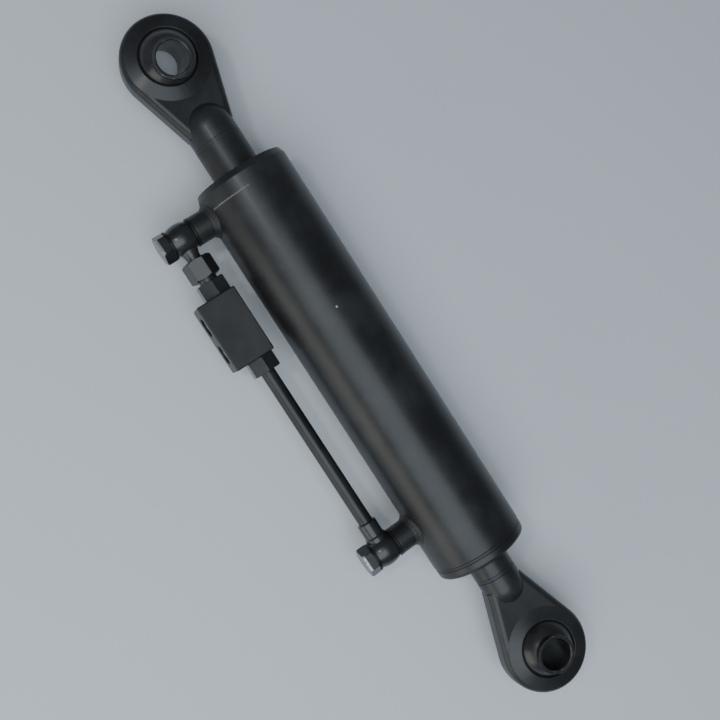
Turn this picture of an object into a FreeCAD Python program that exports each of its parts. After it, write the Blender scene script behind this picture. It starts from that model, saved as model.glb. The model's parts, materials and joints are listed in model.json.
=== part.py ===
import FreeCAD, Part
import math
import os

# Hydraulic top link: a double-acting cylinder with a swivel ball eye at each end and a
# pilot-operated double check valve on its side.
# Frame, in mm: the origin is the centre of the base ball, +X runs along the link to the rod
# ball, +Y points from the barrel to its ports, +Z is the axis of both eyes.

Vec = FreeCAD.Vector
AXIS = {"x": Vec(1, 0, 0), "y": Vec(0, 1, 0), "z": Vec(0, 0, 1)}
cut_over = 1.0               # how far a cutting tool reaches past the face that it cuts

# Swivel eyes and their balls
eye_radius = 37.0            # outside of the forged eye
eye_plate = 22.0             # thickness of its flat flanks
eye_edge_round = 6.0         # rounding of the forged outer edge
eye_boss_crest = 24.0        # outer radius of the flat crest of the hub round the ball
eye_boss_foot = 34.0         # and where its cone meets the flank
eye_boss_rise = 3.2          # height of the crest over the flank, on each side
eye_mouth_bevel = 1.0        # of the seat's mouth
eye_flank_end = 11.0         # from the weld back to where the flanks meet the shank
eye_dome_inset = 2.0         # the shank's domed end starts this far before that
ball_radius = 26.0
ball_width = 51.0            # over the two collars
ball_bore = 25.7             # for a 25.4 mm pin
ball_collar_wall = 3.15      # of the collars round the bore
ball_bore_chamfer = 0.8
ball_gap = 0.12              # between the ball and its seat
rod_ball_tilt = -12.6        # degrees about +Y, as the balls lie when nothing holds them
base_ball_tilt = -7.0

# Barrel
tube_bore = 70.0
tube_wall = 5.0
tube_length = 355.0
tube_nose_length = 5.0       # turned taper at the gland end
tube_nose_drop = 2.0
tube_lead_in = 0.8           # chamfer of the bore's mouth

# Base cap with its neck, and the two eyes' shanks
cap_rim = 9.0
cap_rim_drop = 0.4           # the rim is turned this much under the tube
cap_spigot = 9.0             # length inside the tube
cap_edge_round = 3.5
cap_neck_length = 19.0
base_shank_radius = 17.5
base_shank_length = 75.0     # ball centre to the weld of the neck
rod_shank_length = 73.0      # ball centre to the weld of the rod
weld_prep = 1.6              # half width of a V seam at the surface
weld_depth = 2.6
weld_sink = 0.25             # how far a seam's top lies under the surface
socket_depth = 6.0           # pilot spigot inside each welded joint
socket_inset = 9.0           # its radius is this much under the welded radius

# Rod and piston
rod_radius = 20.0
rod_exposed = 29.0           # between the gland and the eye's weld with the link closed
rod_bevel = 1.0              # at the shoulder that the piston is pulled against
rod_shoulder = 6.0           # height of that shoulder
stub_length = 9.0            # of the rod's thread past the nut
stub_bevel = 1.5
nut_height = 28.0
nut_wall = 9.0               # from its thread to a flat
nut_bevel = 2.0
end_gap = 1.0                # left at both ends of the stroke
piston_length = 48.0
piston_gap = 0.25            # metal to metal, piston to bore
piston_edge = 1.0
piston_seal_width = 6.0
piston_seal_depth = 5.0
guide_ring_width = 8.0
guide_ring_depth = 2.5
guide_offset = 4.0           # from each end of the piston
ring_side_play = 0.1
running_gap = 0.05           # radial clearance of seals and guides
piston_oring_section = 2.4
piston_oring_groove = 3.0    # width of its groove

# Gland
gland_length = 49.0
gland_land = 1.0             # from the rod side's port to the gland's head
gland_nose_gap = 5.0         # oil space between the gland's nose and the bore
gland_edge_drop = 0.4
rod_clearance = 0.35         # rod to gland metal
bush_length = 18.0
bush_wall = 2.5
bush_inset = 3.0
rod_seal_land = 4.0          # between the bush and the rod seal
rod_seal_length = 7.0
rod_seal_depth = 5.0
rod_seal_lip = 1.6           # thickness of each of its two lips
rod_seal_notch = 2.3         # depth of the notch between them
wiper_length = 6.0
wiper_depth = 4.3
wiper_proud = 1.2            # how far its lip stands out of the gland
wiper_lip = 0.5              # thickness of the lip's edge
wiper_root = 1.6             # and where it leaves the gland
wiper_relief = 1.0           # free space behind the lip
gland_oring_section = 2.5
gland_oring_groove = 3.2     # width of its groove
gland_oring_inset = 4.0      # from the head's inner shoulder to the groove's middle
gland_pin_hole = 5.0
gland_pin_depth = 5.0
gland_pin_count = 4          # spanner holes
gland_pin_start = 45.0       # degrees from +Y to the first of them

# Ports, banjo joints
rod_port_inset = 21.0        # from the tube's gland end
base_port_inset = 41.0       # from the tube's cap end
port_passage = 8.0           # drilled oil way
bolt_radius = 8.3            # shank of a G3/8 banjo bolt
bolt_flats = 22.0
bolt_head = 8.5
bolt_bevel = 1.3
rod_bolt_turn = -20.0        # degrees from flats across the link, as each one came tight
base_bolt_turn = -27.0
bolt_tip = 1.0               # chamfer of its end
bolt_engagement = 11.0       # of its thread in the boss
bolt_cross_hole = 7.0
bolt_neck_gap = 0.6          # shank to the banjo ring
boss_wall = 3.7              # round the bolt's thread
boss_height = 16.0           # over the top of the barrel
boss_edge = 0.8
boss_tap_tip = 1.0           # depth left under the bolt's end
boss_weld_leg = 4.0          # of the fillet weld round the boss
washer_width = 3.9           # outside the bolt's shank
washer_gap = 0.2
washer_thickness = 1.5
ring_wall = 4.7              # of the banjo ring, bolt's shank to outside at its middle
ring_bulge = 2.2             # how far the middle stands out over the flat faces
ring_width = 19.0
ring_groove = 9.0            # width of the oil groove inside it
ring_groove_depth = 1.6

# Fittings between the banjo joints and the valve
pipe_radius = 6.0
pipe_wall = 2.0
sleeve_wall = 2.0            # brazed socket for the pipe on the base-side banjo
sleeve_reach = 27.0          # from the banjo's centre to the socket's mouth
sleeve_seat = 16.0           # from the banjo's centre to the pipe's end
sleeve_collar = 1.0          # thicker root of the socket
sleeve_taper = 1.5           # length over which the root falls to the socket
sleeve_edge = 0.8
banjo_to_nut = 19.0          # from the banjo's centre to the union nut
spigot_swell = 1.5           # radius that the rod side's spigot gains at its ring
spigot_plain = 3.0           # plain length of it outside the nut
spigot_seat = 3.0            # its end lies this far inside the union nut
union_wall = 3.0             # M18 thread round the pipe
union_nut_wall = 2.0         # from that thread to a flat
union_length = 17.0
union_lip = 4.0
union_bevel = 2.0
union_turn = 18.0            # degrees from flats facing outward
union_pipe_gap = 0.1
thread_depth = 1.2
thread_gap = 0.03
adapter_neck = 3.0
adapter_hex = 13.0
adapter_thread = 9.0         # male end that the union nut takes
adapter_cone = 3.0           # depth of its cone for the cutting ring
olive_wall = 1.6             # of the cutting ring at its thick end
olive_tip = 0.5              # and at its thin end
olive_inset = 1.0            # from the cone's bottom to the thin end
hex_bevel = 1.0
port_thread_radius = 8.33    # G3/8
port_depth = 15.0            # of the two end ports of the valve
stud_neck = 2.4              # thread relief under the stud's hexagon
stud_neck_depth = 1.0
stud_tip = 1.0
stud_oring_section = 2.2

# Double check valve
valve_length = 57.5
valve_width = 34.0           # along Y
valve_thickness = 30.0       # along Z
valve_offset = 4.7           # its middle lies this far outside the line of the pipe
valve_edge = 0.8
hose_port_spacing = 25.0
hose_port_wall = 2.9         # left between a hose port's bottom and the end ports
hose_passage = 5.0
pilot_radius = 6.0
pilot_length = 13.0
pilot_pin_radius = 2.0
pilot_gap = 0.04
pilot_travel = 0.8           # free travel of the pilot before its pin meets a closed poppet
seat_length = 3.4
seat_overlap = 0.9           # the poppet is this much larger in radius than the seat's bore
poppet_radius = 4.4
poppet_length = 5.0          # of its round part
poppet_nose = 3.2            # length of its cone
poppet_gap = 0.1             # between the closed poppet's cone and the seat's edge
poppet_guide_gap = 0.5       # round the poppet in its pocket
spring_pocket_depth = 13.0
spring_wire = 0.9
spring_turns = 4
spring_end_gap = 0.05
spring_runs = 12             # straight runs in one turn of the wire
ring_sides = 8               # sides of an O-ring's round section
wire_sides = 6               # sides of the spring wire's section

# Places that follow from the sizes above
tube_radius = tube_bore / 2 + tube_wall
bore_radius = tube_bore / 2
cap_face = base_shank_length + cap_neck_length
tube_start = cap_face + cap_rim
tube_end = tube_start + tube_length
cap_inner = tube_start + cap_spigot
rod_end = tube_end + rod_exposed
rod_ball_x = rod_end + rod_shank_length
spigot_radius = rod_radius - rod_shoulder
stub_end = cap_inner + end_gap
nut_start = stub_end + stub_length
piston_start = nut_start + nut_height
piston_end = piston_start + piston_length
piston_middle = (piston_start + piston_end) / 2
gland_start = tube_end - gland_length
gland_shoulder = tube_end - rod_port_inset + port_passage / 2 + gland_land
stroke = gland_start - piston_end - end_gap
rod_port_x = tube_end - rod_port_inset
base_port_x = tube_start + base_port_inset
boss_radius = bolt_radius + boss_wall
boss_top = tube_radius + boss_height
ring_radius = bolt_radius + ring_wall
ring_face_radius = ring_radius - ring_bulge
line_y = boss_top + washer_thickness + ring_width / 2
head_y = line_y + ring_width / 2 + washer_thickness
pipe_bore_radius = pipe_radius - pipe_wall
sleeve_radius = pipe_radius + sleeve_wall
thread_radius = pipe_radius + union_wall
union_flats = 2 * (thread_radius + union_nut_wall)
union_top = rod_port_x - banjo_to_nut
union_bottom = union_top - union_length
spigot_end = union_bottom + spigot_seat
olive_radius = pipe_radius + olive_wall
valve_top = union_bottom - adapter_neck - adapter_hex
valve_bottom = valve_top - valve_length
valve_middle = (valve_top + valve_bottom) / 2
valve_y = line_y + valve_offset
valve_face = valve_y + valve_width / 2
stud_length = port_depth - seat_length
hose_port_bottom = line_y + port_thread_radius + hose_port_wall
hose_passage_offset = (pilot_length / 2 + valve_length / 2 - port_depth) / 2
seat_bore_radius = poppet_radius - seat_overlap
spring_pocket_radius = poppet_radius + poppet_guide_gap


def cylinder(axis, start, end, radius, x=0.0, y=0.0, z=0.0):
    """A round bar along an axis; x, y and z place that axis."""
    base = Vec(x, y, z) + AXIS[axis] * (start - Vec(x, y, z).dot(AXIS[axis]))
    return Part.makeCylinder(radius, end - start, base, AXIS[axis])


def tube(axis, start, end, outer, inner, **at):
    return cylinder(axis, start, end, outer, **at).cut(cylinder(axis, start, end, inner, **at))


def groove(middle, width, bottom, top):
    """The cutter for a groove round the X axis, from its bottom's radius out past the surface."""
    return tube("x", middle - width / 2, middle + width / 2, top + cut_over, bottom)


def turned(points, y=0.0):
    """A turned piece about the X axis through y, from (x, radius) corners."""
    wire = Part.makePolygon([Vec(px, y + pr, 0) for px, pr in points + points[:1]])
    return Part.Face(wire).revolve(Vec(0, y, 0), AXIS["x"], 360)


def turned_on_port(points, x):
    """A turned piece about a port's axis, from (height y, radius) corners."""
    wire = Part.makePolygon([Vec(x + pr, py, 0) for py, pr in points + points[:1]])
    return Part.Face(wire).revolve(Vec(x, 0, 0), AXIS["y"], 360)


def turned_on_eye(points):
    """A turned piece about the Z axis, from (height z, radius) corners."""
    wire = Part.makePolygon([Vec(pr, 0, pz) for pz, pr in points + points[:1]])
    return Part.Face(wire).revolve(Vec(0, 0, 0), AXIS["z"], 360)


def around(sides):
    """Cosine and sine of the corners of a regular section, the first one half a side past 0."""
    angles = [2 * math.pi * (step + 0.5) / sides for step in range(sides)]
    return [(math.cos(angle), math.sin(angle)) for angle in angles]


def oring(x, middle, section, y=0.0):
    """An O-ring about X; middle is the radius to the centre of its section."""
    return turned([(x + section / 2 * c, middle + section / 2 * s) for c, s in around(ring_sides)], y)


def hexagon(axis, start, end, flats, bevel, y=0.0, x=0.0, turn=0.0):
    """A hexagonal bar, its corners bevelled at 30 degrees.

    Two flats face +Y or +X, and turn swings them round the bar's axis from there, in degrees.
    """
    corner = flats / math.sqrt(3)
    centre = Vec(x, y, 0)
    centre = centre + AXIS[axis] * (start - centre.dot(AXIS[axis]))
    across = AXIS["y"] if axis == "x" else AXIS["x"]
    other = AXIS[axis].cross(across)
    points = [centre + across * (corner * c) + other * (corner * s) for c, s in around(6)]
    bar = Part.Face(Part.makePolygon(points + points[:1])).extrude(AXIS[axis] * (end - start))
    bar.rotate(centre, AXIS[axis], turn)
    # The two cones pass through the corners one slope in from each end.
    slope = 2 * bevel * math.tan(math.radians(30))
    profile = [(start, 0), (start, corner - bevel), (start + slope, corner + bevel),
               (end - slope, corner + bevel), (end, corner - bevel), (end, 0)]
    limit = turned(profile, y) if axis == "x" else turned_on_port(profile, x)
    return bar.common(limit)


def v_seam(x, radius, sink):
    """The section of a V-shaped weld seam at x; sink lowers its top face."""
    half = weld_prep * (1 - sink / weld_depth)
    return [(x, radius - weld_depth), (x + half, radius - sink), (x - half, radius - sink)]


def v_cutter(x, radius):
    """The same V, carried past the surface, that bevels both edges to be welded."""
    tip, right, left = v_seam(x, radius, 0)
    top = radius + cut_over
    return turned([tip, right, (x + weld_prep, top), (x - weld_prep, top), left])


def save(name, shape):
    shape.exportStep("parts/" + name + ".step")


def mouth_cutter(side):
    """A cone that bevels the mouth of the ball's seat at 45 degrees, on the side +1 or -1."""
    face = eye_plate / 2 + eye_boss_rise
    edge = face - eye_mouth_bevel
    mouth = math.sqrt((ball_radius + ball_gap) ** 2 - edge ** 2)
    over = mouth + eye_mouth_bevel + cut_over
    return turned_on_eye([(side * edge, 0), (side * edge, mouth), (side * (face + cut_over), over),
                          (side * (face + cut_over), 0)])


def eye_housing(shank_radius, shank_length):
    """A forged eye about the origin with its shank along +X up to the weld.

    The eye and the two flanks that run from it to the shank are one flat plate, the shank is a
    round bar with a domed end that rises out of the plate, and the ball's seat is a sphere.
    """
    half = eye_plate / 2
    reach = shank_length - eye_flank_end
    # A flank runs from the shank's side at reach and touches the eye's circle.
    lean = math.atan2(shank_radius, reach)
    touch = lean + math.acos(eye_radius / math.hypot(reach, shank_radius))
    tx = eye_radius * math.cos(touch)
    ty = eye_radius * math.sin(touch)
    arc = Part.Arc(Vec(tx, ty, -half), Vec(-eye_radius, 0, -half), Vec(tx, -ty, -half)).toShape()
    sides = Part.makePolygon([Vec(tx, -ty, -half), Vec(reach, -shank_radius, -half),
                              Vec(reach, shank_radius, -half), Vec(tx, ty, -half)])
    plate = Part.Face(Part.Wire([arc] + sides.Edges)).extrude(Vec(0, 0, eye_plate))
    rounded = [edge for edge in plate.Edges
               if abs(abs(edge.CenterOfMass.z) - half) < 0.01 and edge.CenterOfMass.x < reach - 0.01]
    plate = plate.makeFillet(eye_edge_round, rounded)
    # The hub is a cone on each side, from its crest down to the flank.
    top = half + eye_boss_rise
    boss = turned_on_eye([(-top, 0), (-top, eye_boss_crest), (-half, eye_boss_foot),
                          (half, eye_boss_foot), (top, eye_boss_crest), (top, 0)])
    # The shank's end is a quarter circle turned about the shank's axis.
    dome_x = reach - eye_dome_inset
    low = Vec(dome_x - shank_radius, 0, 0)
    bend = Vec(dome_x - shank_radius * math.sqrt(0.5), shank_radius * math.sqrt(0.5), 0)
    dome_top = Vec(dome_x, shank_radius, 0)
    dome = Part.Arc(low, bend, dome_top).toShape()
    bar = Part.makePolygon([dome_top, Vec(shank_length, shank_radius, 0), Vec(shank_length, 0, 0), low])
    shank = Part.Face(Part.Wire([dome] + bar.Edges)).revolve(Vec(0, 0, 0), AXIS["x"], 360)
    body = plate.fuse([boss, shank]).removeSplitter()
    body = body.cut(Part.makeSphere(ball_radius + ball_gap))
    for side in (-1, 1):
        body = body.cut(mouth_cutter(side))
    body = body.cut(v_cutter(shank_length, shank_radius))
    return body.cut(cylinder("x", shank_length - socket_depth, shank_length, shank_radius - socket_inset))


def swivel_ball(tilt):
    """A ball with two collars and a chamfered bore along its own axis, turned by tilt."""
    half = ball_width / 2
    bore = ball_bore / 2
    collar = bore + ball_collar_wall
    # The sphere stops where it is as wide as its collars.
    crown = math.sqrt(ball_radius ** 2 - collar ** 2)
    ball = Part.makeSphere(ball_radius).common(
        Part.makeCylinder(ball_radius + cut_over, 2 * crown, Vec(0, 0, -crown)))
    ball = ball.fuse(Part.makeCylinder(collar, ball_width, Vec(0, 0, -half)))
    flare = bore + ball_bore_chamfer
    hole = [Part.makeCylinder(bore, ball_width, Vec(0, 0, -half)),
            Part.makeCone(bore, flare, ball_bore_chamfer, Vec(0, 0, half - ball_bore_chamfer)),
            Part.makeCone(flare, bore, ball_bore_chamfer, Vec(0, 0, -half))]
    for cutter in hole:
        ball = ball.cut(cutter)
    ball.rotate(Vec(0, 0, 0), AXIS["y"], tilt)
    return ball


def make_eyes():
    save("base_eye_housing", eye_housing(base_shank_radius, base_shank_length))
    save("base_ball", swivel_ball(base_ball_tilt))
    housing = eye_housing(rod_radius, rod_shank_length)
    housing.rotate(Vec(0, 0, 0), AXIS["z"], 180)
    housing.translate(Vec(rod_ball_x, 0, 0))
    save("rod_eye_housing", housing)
    ball = swivel_ball(rod_ball_tilt)
    ball.translate(Vec(rod_ball_x, 0, 0))
    save("rod_ball", ball)
    save("base_eye_weld", turned(v_seam(base_shank_length, base_shank_radius, weld_sink)))
    save("rod_eye_weld", turned(v_seam(rod_end, rod_radius, 0)))


def make_barrel():
    profile = [(tube_start, bore_radius), (tube_start, tube_radius),
               (tube_end - tube_nose_length, tube_radius), (tube_end, tube_radius - tube_nose_drop),
               (tube_end, bore_radius + tube_lead_in), (tube_end - tube_lead_in, bore_radius)]
    barrel = turned(profile).cut(v_cutter(tube_start, tube_radius))
    for x in (rod_port_x, base_port_x):
        barrel = barrel.cut(cylinder("y", 0, tube_radius + cut_over, port_passage / 2, x=x))
    save("barrel_tube", barrel)
    disc = cylinder("x", cap_face, tube_start, tube_radius - cap_rim_drop)
    disc = disc.makeFillet(cap_edge_round, [e for e in disc.Edges if abs(e.CenterOfMass.x - cap_face) < 0.01])
    pilot_start = base_shank_length - socket_depth
    cap = disc.fuse([cylinder("x", base_shank_length, cap_face, base_shank_radius),
                     cylinder("x", pilot_start, base_shank_length, base_shank_radius - socket_inset),
                     cylinder("x", tube_start, cap_inner, bore_radius)]).removeSplitter()
    cap = cap.cut(v_cutter(tube_start, tube_radius)).cut(v_cutter(base_shank_length, base_shank_radius))
    save("base_cap", cap)
    save("base_cap_weld", turned(v_seam(tube_start, tube_radius, weld_sink + cap_rim_drop)))


def make_gland():
    bore = rod_radius + rod_clearance
    inner = rod_radius + running_gap
    nose = bore_radius - gland_nose_gap
    bush_x = gland_start + bush_inset
    bush_outer = rod_radius + bush_wall
    seal_x = bush_x + bush_length + rod_seal_land
    seal_end = seal_x + rod_seal_length
    seal_outer = rod_radius + rod_seal_depth
    wiper_x = tube_end - wiper_length
    wiper_outer = rod_radius + wiper_depth
    groove_x = gland_shoulder + gland_oring_inset
    gland = turned([(gland_start, bore), (gland_start, nose), (gland_shoulder, nose),
                    (gland_shoulder, bore_radius), (tube_end - tube_lead_in, bore_radius),
                    (tube_end, bore_radius - gland_edge_drop), (tube_end, bore)])
    gland = gland.cut(groove(groove_x, gland_oring_groove, bore_radius - gland_oring_section, bore_radius))
    gland = gland.cut(cylinder("x", bush_x, bush_x + bush_length, bush_outer))
    gland = gland.cut(cylinder("x", seal_x, seal_end, seal_outer))
    gland = gland.cut(cylinder("x", wiper_x, tube_end, wiper_outer))
    pin_circle = (wiper_outer + bore_radius) / 2
    for step in range(gland_pin_count):
        angle = math.radians(360 / gland_pin_count * step + gland_pin_start)
        gland = gland.cut(cylinder("x", tube_end - gland_pin_depth, tube_end, gland_pin_hole / 2,
                                   y=pin_circle * math.cos(angle), z=pin_circle * math.sin(angle)))
    save("gland", gland)
    save("gland_oring", oring(groove_x, bore_radius - gland_oring_section / 2, gland_oring_section))
    save("rod_guide_bush", tube("x", bush_x, bush_x + bush_length, bush_outer, inner))
    notch = (seal_x + rod_seal_notch, (inner + seal_outer) / 2)
    save("rod_seal", turned([(seal_x, inner), (seal_x, inner + rod_seal_lip), notch,
                             (seal_x, seal_outer - rod_seal_lip), (seal_x, seal_outer),
                             (seal_end, seal_outer), (seal_end, inner)]))
    lip_x = tube_end + wiper_proud
    save("rod_wiper", turned([(wiper_x, inner + wiper_relief), (wiper_x, wiper_outer),
                              (tube_end, wiper_outer), (tube_end, inner + wiper_root),
                              (lip_x, inner + wiper_lip), (lip_x, inner)]))


def make_rod():
    pin = rod_radius - socket_inset
    rod = turned([(stub_end, 0), (stub_end, spigot_radius - stub_bevel),
                  (stub_end + stub_bevel, spigot_radius), (piston_end, spigot_radius),
                  (piston_end, rod_radius - rod_bevel),
                  (piston_end + rod_bevel, rod_radius), (rod_end, rod_radius), (rod_end, pin),
                  (rod_end + socket_depth, pin), (rod_end + socket_depth, 0)])
    save("piston_rod", rod.cut(v_cutter(rod_end, rod_radius)))
    nut = hexagon("x", nut_start, piston_start, 2 * (spigot_radius + nut_wall), nut_bevel)
    save("piston_nut", nut.cut(cylinder("x", nut_start, piston_start, spigot_radius)))
    outer = bore_radius - piston_gap
    body = turned([(piston_start, spigot_radius), (piston_start, outer - piston_edge),
                   (piston_start + piston_edge, outer), (piston_end - piston_edge, outer),
                   (piston_end, outer - piston_edge), (piston_end, spigot_radius)])
    offset = piston_length / 2 - guide_offset - guide_ring_width / 2
    guides = (piston_middle - offset, piston_middle + offset)
    seal_floor = bore_radius - piston_seal_depth
    guide_floor = bore_radius - guide_ring_depth
    for x in guides:
        body = body.cut(groove(x, guide_ring_width, guide_floor, outer))
    body = body.cut(groove(piston_middle, piston_seal_width, seal_floor, outer))
    half = piston_oring_groove / 2
    inner_groove = cylinder("x", piston_middle - half, piston_middle + half,
                            spigot_radius + piston_oring_section)
    save("piston", body.cut(inner_groove))
    save("piston_oring", oring(piston_middle, spigot_radius + piston_oring_section / 2, piston_oring_section))
    half = piston_seal_width / 2 - ring_side_play
    outer = bore_radius - running_gap
    save("piston_seal", tube("x", piston_middle - half, piston_middle + half, outer, seal_floor + running_gap))
    half = guide_ring_width / 2 - ring_side_play
    rings = [tube("x", x - half, x + half, outer, guide_floor + running_gap) for x in guides]
    save("piston_guide_rings", Part.makeCompound(rings))


def barrel_height(radius):
    """Height of the barrel's surface at this distance from its top line."""
    return math.sqrt(tube_radius ** 2 - radius ** 2)


def port_boss(x):
    """A turned boss on the barrel, saddled to it, with the bolt's tapped hole."""
    foot = barrel_height(boss_radius) - cut_over
    tap = boss_top - bolt_engagement - boss_tap_tip
    boss = turned_on_port([(foot, 0), (foot, boss_radius), (boss_top - boss_edge, boss_radius),
                           (boss_top, boss_radius - boss_edge), (boss_top, 0)], x)
    boss = boss.cut(cylinder("x", x - 2 * boss_radius, x + 2 * boss_radius, tube_radius))
    boss = boss.cut(cylinder("y", tap, boss_top, bolt_radius, x=x))
    return boss.cut(cylinder("y", foot, boss_top, port_passage / 2, x=x))


def boss_weld(x):
    """The fillet weld that follows the saddle where the boss stands on the round barrel.

    It is what a chamfer of the inner corner between a solid bar and a solid boss adds to them.
    """
    reach = 2 * boss_radius
    bar = cylinder("x", x - reach, x + reach, tube_radius)
    stand = cylinder("y", 0, boss_top, boss_radius, x=x)
    joined = bar.fuse(stand)
    corner = [edge for edge in joined.Edges if on_saddle(edge, x)]
    return joined.makeChamfer(boss_weld_leg, corner).cut([bar, stand])


def on_saddle(edge, x):
    """Whether an edge lies on the barrel's surface and on the boss's at once."""
    points = [edge.valueAt(edge.FirstParameter + share * (edge.LastParameter - edge.FirstParameter))
              for share in (0.0, 0.3, 0.7)]
    return all(abs(math.hypot(p.y, p.z) - tube_radius) < 0.01 and
               abs(math.hypot(p.x - x, p.z) - boss_radius) < 0.01 for p in points)


def banjo_ring(x):
    """A solid ring of barrel-shaped section, before its bolt hole is bored."""
    half = ring_width / 2
    face = ring_face_radius
    arc = Part.Arc(Vec(x + face, line_y - half, 0), Vec(x + ring_radius, line_y, 0),
                   Vec(x + face, line_y + half, 0)).toShape()
    sides = Part.makePolygon([Vec(x + face, line_y + half, 0), Vec(x, line_y + half, 0),
                              Vec(x, line_y - half, 0), Vec(x + face, line_y - half, 0)])
    return Part.Face(Part.Wire([arc] + sides.Edges)).revolve(Vec(x, 0, 0), AXIS["y"], 360)


def bore_banjo(ring, x):
    """The bolt's hole and the oil groove of a banjo ring."""
    hole = bolt_radius + bolt_neck_gap
    ring = ring.cut(cylinder("y", line_y - ring_width, line_y + ring_width, hole, x=x))
    half = ring_groove / 2
    return ring.cut(cylinder("y", line_y - half, line_y + half, hole + ring_groove_depth, x=x))


def banjo_bolt(x, turn):
    """A hollow hexagon bolt that lets oil through its shank."""
    tip = boss_top - bolt_engagement
    shank = bolt_radius - thread_gap
    bolt = hexagon("y", head_y, head_y + bolt_head, bolt_flats, bolt_bevel, x=x, turn=turn)
    bolt = bolt.fuse(turned_on_port([(tip, 0), (tip, shank - bolt_tip), (tip + bolt_tip, shank),
                                     (head_y, shank), (head_y, 0)], x))
    bolt = bolt.cut(cylinder("y", tip, line_y + port_passage / 2, port_passage / 2, x=x))
    return bolt.cut(cylinder("x", x - bolt_radius, x + bolt_radius, bolt_cross_hole / 2, y=line_y))


def make_ports():
    washers = []
    ports = (("rod_side", rod_port_x, rod_bolt_turn), ("base_side", base_port_x, base_bolt_turn))
    for name, x, turn in ports:
        save("port_boss_" + name, port_boss(x))
        save("port_weld_" + name, boss_weld(x))
        save("banjo_bolt_" + name, banjo_bolt(x, turn))
        for start in (boss_top, head_y - washer_thickness):
            washers.append(tube("y", start, start + washer_thickness, bolt_radius + washer_width,
                                bolt_radius + washer_gap, x=x))
    save("sealing_washers", Part.makeCompound(washers))
    # Rod side: a plain spigot, taken by the union nut.
    root = rod_port_x - ring_face_radius
    thick = pipe_radius + spigot_swell
    spigot = turned([(spigot_end, 0), (spigot_end, pipe_radius), (union_top + spigot_plain, pipe_radius),
                     (root, thick), (rod_port_x, thick), (rod_port_x, 0)], line_y)
    ring = bore_banjo(banjo_ring(rod_port_x).fuse(spigot), rod_port_x)
    save("banjo_rod_side", ring.cut(cylinder("x", spigot_end, rod_port_x, pipe_bore_radius, y=line_y)))
    # Base side: a socket that the pipe is brazed into.
    mouth = base_port_x + sleeve_reach
    root = base_port_x + ring_radius
    thick = sleeve_radius + sleeve_collar
    sleeve = turned([(base_port_x, 0), (base_port_x, thick), (root, thick),
                     (root + sleeve_taper, sleeve_radius), (mouth - sleeve_edge, sleeve_radius),
                     (mouth, sleeve_radius - sleeve_edge), (mouth, 0)], line_y)
    ring = bore_banjo(banjo_ring(base_port_x).fuse(sleeve), base_port_x)
    ring = ring.cut(cylinder("x", base_port_x, mouth, pipe_bore_radius, y=line_y))
    save("banjo_base_side", ring.cut(cylinder("x", base_port_x + sleeve_seat, mouth, pipe_radius, y=line_y)))


def stud_profile(face, side):
    """Half section of a threaded stud that runs from a port's face into the valve."""
    tip = face + side * stud_length
    neck_end = face + side * stud_neck
    neck = port_thread_radius - stud_neck_depth
    thread = port_thread_radius - thread_gap
    return [(face, 0), (face, neck), (neck_end, neck), (neck_end, thread), (tip - side * stud_tip, thread),
            (tip, thread - stud_tip), (tip, 0)]


def make_union():
    """Union nut, cutting ring and the adapter that screws into the valve's upper port."""
    inner_face = union_top - union_lip
    nut = hexagon("x", union_bottom, union_top, union_flats, union_bevel, y=line_y, turn=union_turn)
    nut = nut.cut(cylinder("x", union_bottom, union_top, pipe_radius + union_pipe_gap, y=line_y))
    save("union_nut", nut.cut(cylinder("x", union_bottom, inner_face, thread_radius, y=line_y)))
    hex_end = valve_top + adapter_hex
    male_end = union_bottom + adapter_thread
    cone_start = male_end - adapter_cone
    root = thread_radius - thread_depth
    crest = thread_radius - thread_gap
    male = [(hex_end, 0), (hex_end, root), (union_bottom, root), (union_bottom + thread_depth, crest),
            (male_end, crest), (male_end, 0)]
    adapter = hexagon("x", valve_top, hex_end, union_flats, hex_bevel, y=line_y)
    adapter = adapter.fuse([turned(stud_profile(valve_top, -1), line_y), turned(male, line_y)])
    cone = [(male_end, 0), (male_end, olive_radius), (cone_start, pipe_radius), (cone_start, 0)]
    adapter = adapter.cut(turned(cone, line_y))
    pocket = valve_top - stud_length
    adapter = adapter.cut(cylinder("x", pocket, male_end, pipe_bore_radius, y=line_y))
    adapter = adapter.cut(cylinder("x", spigot_end, male_end, pipe_radius, y=line_y))
    adapter = adapter.cut(cylinder("x", pocket, pocket + spring_pocket_depth, spring_pocket_radius, y=line_y))
    save("valve_adapter", adapter)
    tip = cone_start + olive_inset
    save("cutting_ring", turned([(tip, pipe_radius), (tip, pipe_radius + olive_tip), (male_end, olive_radius),
                                 (inner_face, olive_radius), (inner_face, pipe_radius)], line_y))


def make_pipe():
    """The transfer pipe, brazed into the base-side banjo and into the hexagon stud under the valve."""
    tip = valve_bottom + stud_length
    pocket = tip - spring_pocket_depth
    hex_start = valve_bottom - adapter_hex
    nut = hexagon("x", hex_start, valve_bottom, union_flats, hex_bevel, y=line_y)
    nut = nut.fuse(turned(stud_profile(valve_bottom, 1), line_y))
    nut = nut.cut(cylinder("x", hex_start, pocket, pipe_radius, y=line_y))
    save("pipe_stud", nut.cut(cylinder("x", pocket, tip, spring_pocket_radius, y=line_y)))
    save("transfer_pipe", tube("x", base_port_x + sleeve_seat, pocket, pipe_radius, pipe_bore_radius,
                               y=line_y))


def end_ports():
    """The valve's two end ports: name, face, direction from the face into the valve."""
    return (("rod_side", valve_top, -1), ("base_side", valve_bottom, 1))


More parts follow.
